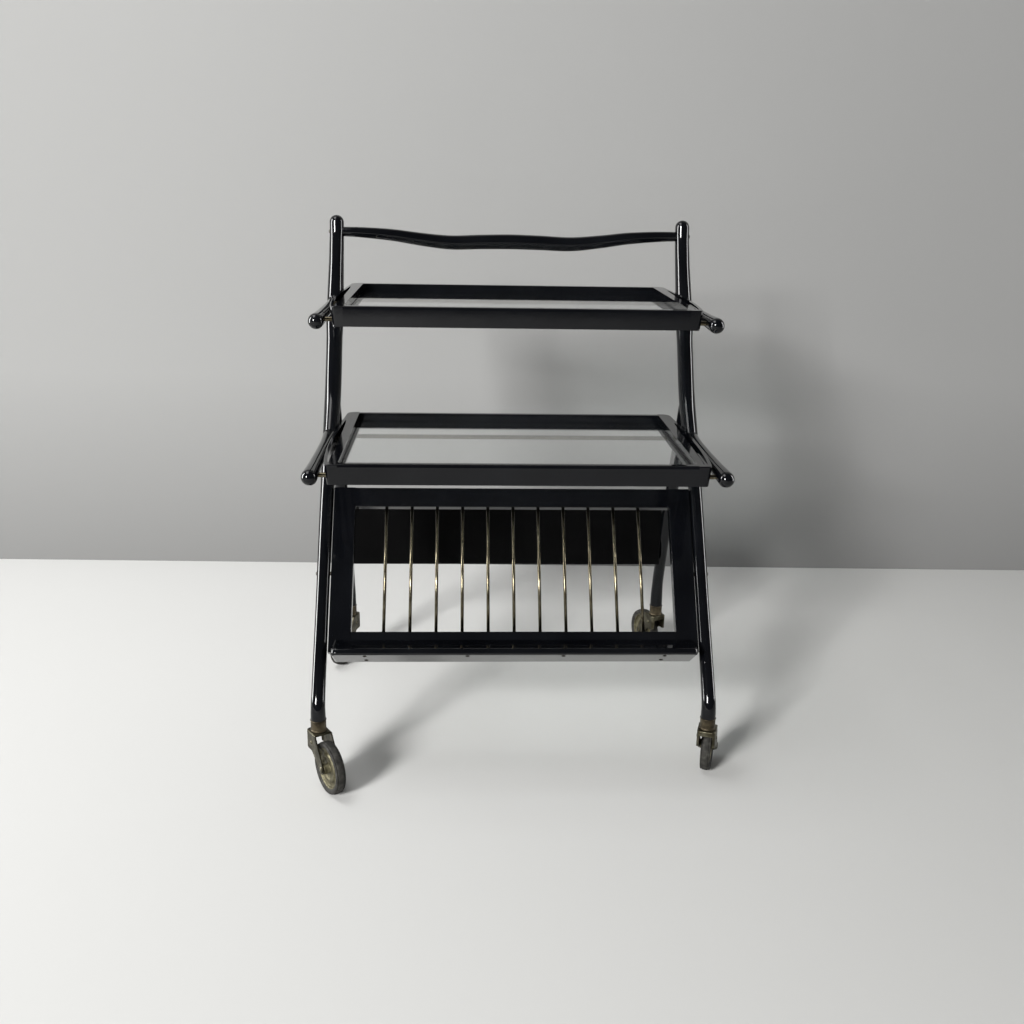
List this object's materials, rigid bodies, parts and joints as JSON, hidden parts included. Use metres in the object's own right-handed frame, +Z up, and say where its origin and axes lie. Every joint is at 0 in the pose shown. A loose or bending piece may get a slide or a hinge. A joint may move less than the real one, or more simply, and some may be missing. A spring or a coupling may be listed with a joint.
{
  "type": "serving trolley",
  "caption": "Rolling serving trolley: bent lacquered side frames, brass rods, lift-off glass trays, a tilting magazine rack, a push bar and swivel casters.",
  "frame": {"origin": "on the floor under the middle of the trolley's outline", "axes": "+X to the right seen from the front, +Y from the front to the back, +Z up"},
  "size_m": [0.6497, 0.5972, 0.82],
  "materials": {
    "lacquer": "gloss black lacquer",
    "brass": "aged satin",
    "ferrule_brass": "darkened satin",
    "fork_metal": "dull bronze, worn",
    "wheel_bronze": "dull bronze",
    "tyre": "matt grey rubber",
    "glass": "clear polished"
  },
  "bodies": {
    "frame": {"long_leg_left": "lacquer", "rear_leg_left": "lacquer", "lower_arm_left": "lacquer", "upper_arm_left": "lacquer", "long_leg_right": "lacquer", "rear_leg_right": "lacquer", "lower_arm_right": "lacquer", "upper_arm_right": "lacquer", "handle_bar": "lacquer", "back_board": "lacquer", "handle_screws": "brass", "rack_pivot_pins": "brass", "lower_front_rod": "brass", "lower_rear_rod": "brass", "upper_front_rod": "brass", "upper_rear_rod": "brass", "ferrule_front_left": "ferrule_brass", "ferrule_front_right": "ferrule_brass", "ferrule_rear_left": "ferrule_brass", "ferrule_rear_right": "ferrule_brass"},
    "rack": {"rack_stile_left": "lacquer", "rack_stile_right": "lacquer", "rack_top_rail": "lacquer", "rack_bottom_rail": "lacquer", "rack_ledge": "lacquer", "rack_bars": "brass", "rack_ledge_screws": "brass"},
    "lower_tray": {"lower_tray_front_rail": "lacquer", "lower_tray_back_rail": "lacquer", "lower_tray_end_left": "lacquer", "lower_tray_end_right": "lacquer", "lower_tray_glass": "glass"},
    "upper_tray": {"upper_tray_front_rail": "lacquer", "upper_tray_back_rail": "lacquer", "upper_tray_end_left": "lacquer", "upper_tray_end_right": "lacquer", "upper_tray_glass": "glass"},
    "fork_front_left": {"yoke_front_left": "fork_metal", "rivets_front_left": "fork_metal", "axle_front_left": "fork_metal"},
    "wheel_front_left": {"wheel_disc_front_left": "wheel_bronze", "tyre_front_left": "tyre"},
    "fork_front_right": {"yoke_front_right": "fork_metal", "rivets_front_right": "fork_metal", "axle_front_right": "fork_metal"},
    "wheel_front_right": {"wheel_disc_front_right": "wheel_bronze", "tyre_front_right": "tyre"},
    "fork_rear_left": {"yoke_rear_left": "fork_metal", "rivets_rear_left": "fork_metal", "axle_rear_left": "fork_metal"},
    "wheel_rear_left": {"wheel_disc_rear_left": "wheel_bronze", "tyre_rear_left": "tyre"},
    "fork_rear_right": {"yoke_rear_right": "fork_metal", "rivets_rear_right": "fork_metal", "axle_rear_right": "fork_metal"},
    "wheel_rear_right": {"wheel_disc_rear_right": "wheel_bronze", "tyre_rear_right": "tyre"}
  },
  "joints": [
    {"name": "rack_tilt", "type": "hinge", "parent": "frame", "child": "rack", "pos_m": [0, -0.11438, 0.2936], "axis": [1, 0, 0], "range_deg": [0, 25]},
    {"name": "lower_tray_lift", "type": "slide", "parent": "frame", "child": "lower_tray", "axis": [0, 0, 1], "range_m": [0, 0.15]},
    {"name": "upper_tray_lift", "type": "slide", "parent": "frame", "child": "upper_tray", "axis": [0, 0, 1], "range_m": [0, 0.05]},
    {"name": "caster_swivel_front_left", "type": "hinge", "parent": "frame", "child": "fork_front_left", "pos_m": [-0.295, -0.2314, 0.09], "axis": [0, 0, 1], "continuous": true},
    {"name": "wheel_spin_front_left", "type": "hinge", "parent": "fork_front_left", "child": "wheel_front_left", "pos_m": [-0.27592, -0.26193, 0.04], "axis": [0.848, 0.5299, 0], "continuous": true},
    {"name": "caster_swivel_front_right", "type": "hinge", "parent": "frame", "child": "fork_front_right", "pos_m": [0.295, -0.2314, 0.09], "axis": [0, 0, 1], "continuous": true},
    {"name": "wheel_spin_front_right", "type": "hinge", "parent": "fork_front_right", "child": "wheel_front_right", "pos_m": [0.30612, -0.19717, 0.04], "axis": [-0.9511, 0.309, 0], "continuous": true},
    {"name": "caster_swivel_rear_left", "type": "hinge", "parent": "frame", "child": "fork_rear_left", "pos_m": [-0.292, 0.22659, 0.09], "axis": [0, 0, 1], "continuous": true},
    {"name": "wheel_spin_rear_left", "type": "hinge", "parent": "fork_rear_left", "child": "wheel_rear_left", "pos_m": [-0.30461, 0.19287, 0.04], "axis": [0.9367, -0.3502, 0], "continuous": true},
    {"name": "caster_swivel_rear_right", "type": "hinge", "parent": "frame", "child": "fork_rear_right", "pos_m": [0.292, 0.22659, 0.09], "axis": [0, 0, 1], "continuous": true},
    {"name": "wheel_spin_rear_right", "type": "hinge", "parent": "fork_rear_right", "child": "wheel_rear_right", "pos_m": [0.27851, 0.25997, 0.04], "axis": [-0.9272, -0.3746, 0], "continuous": true}
  ]
}
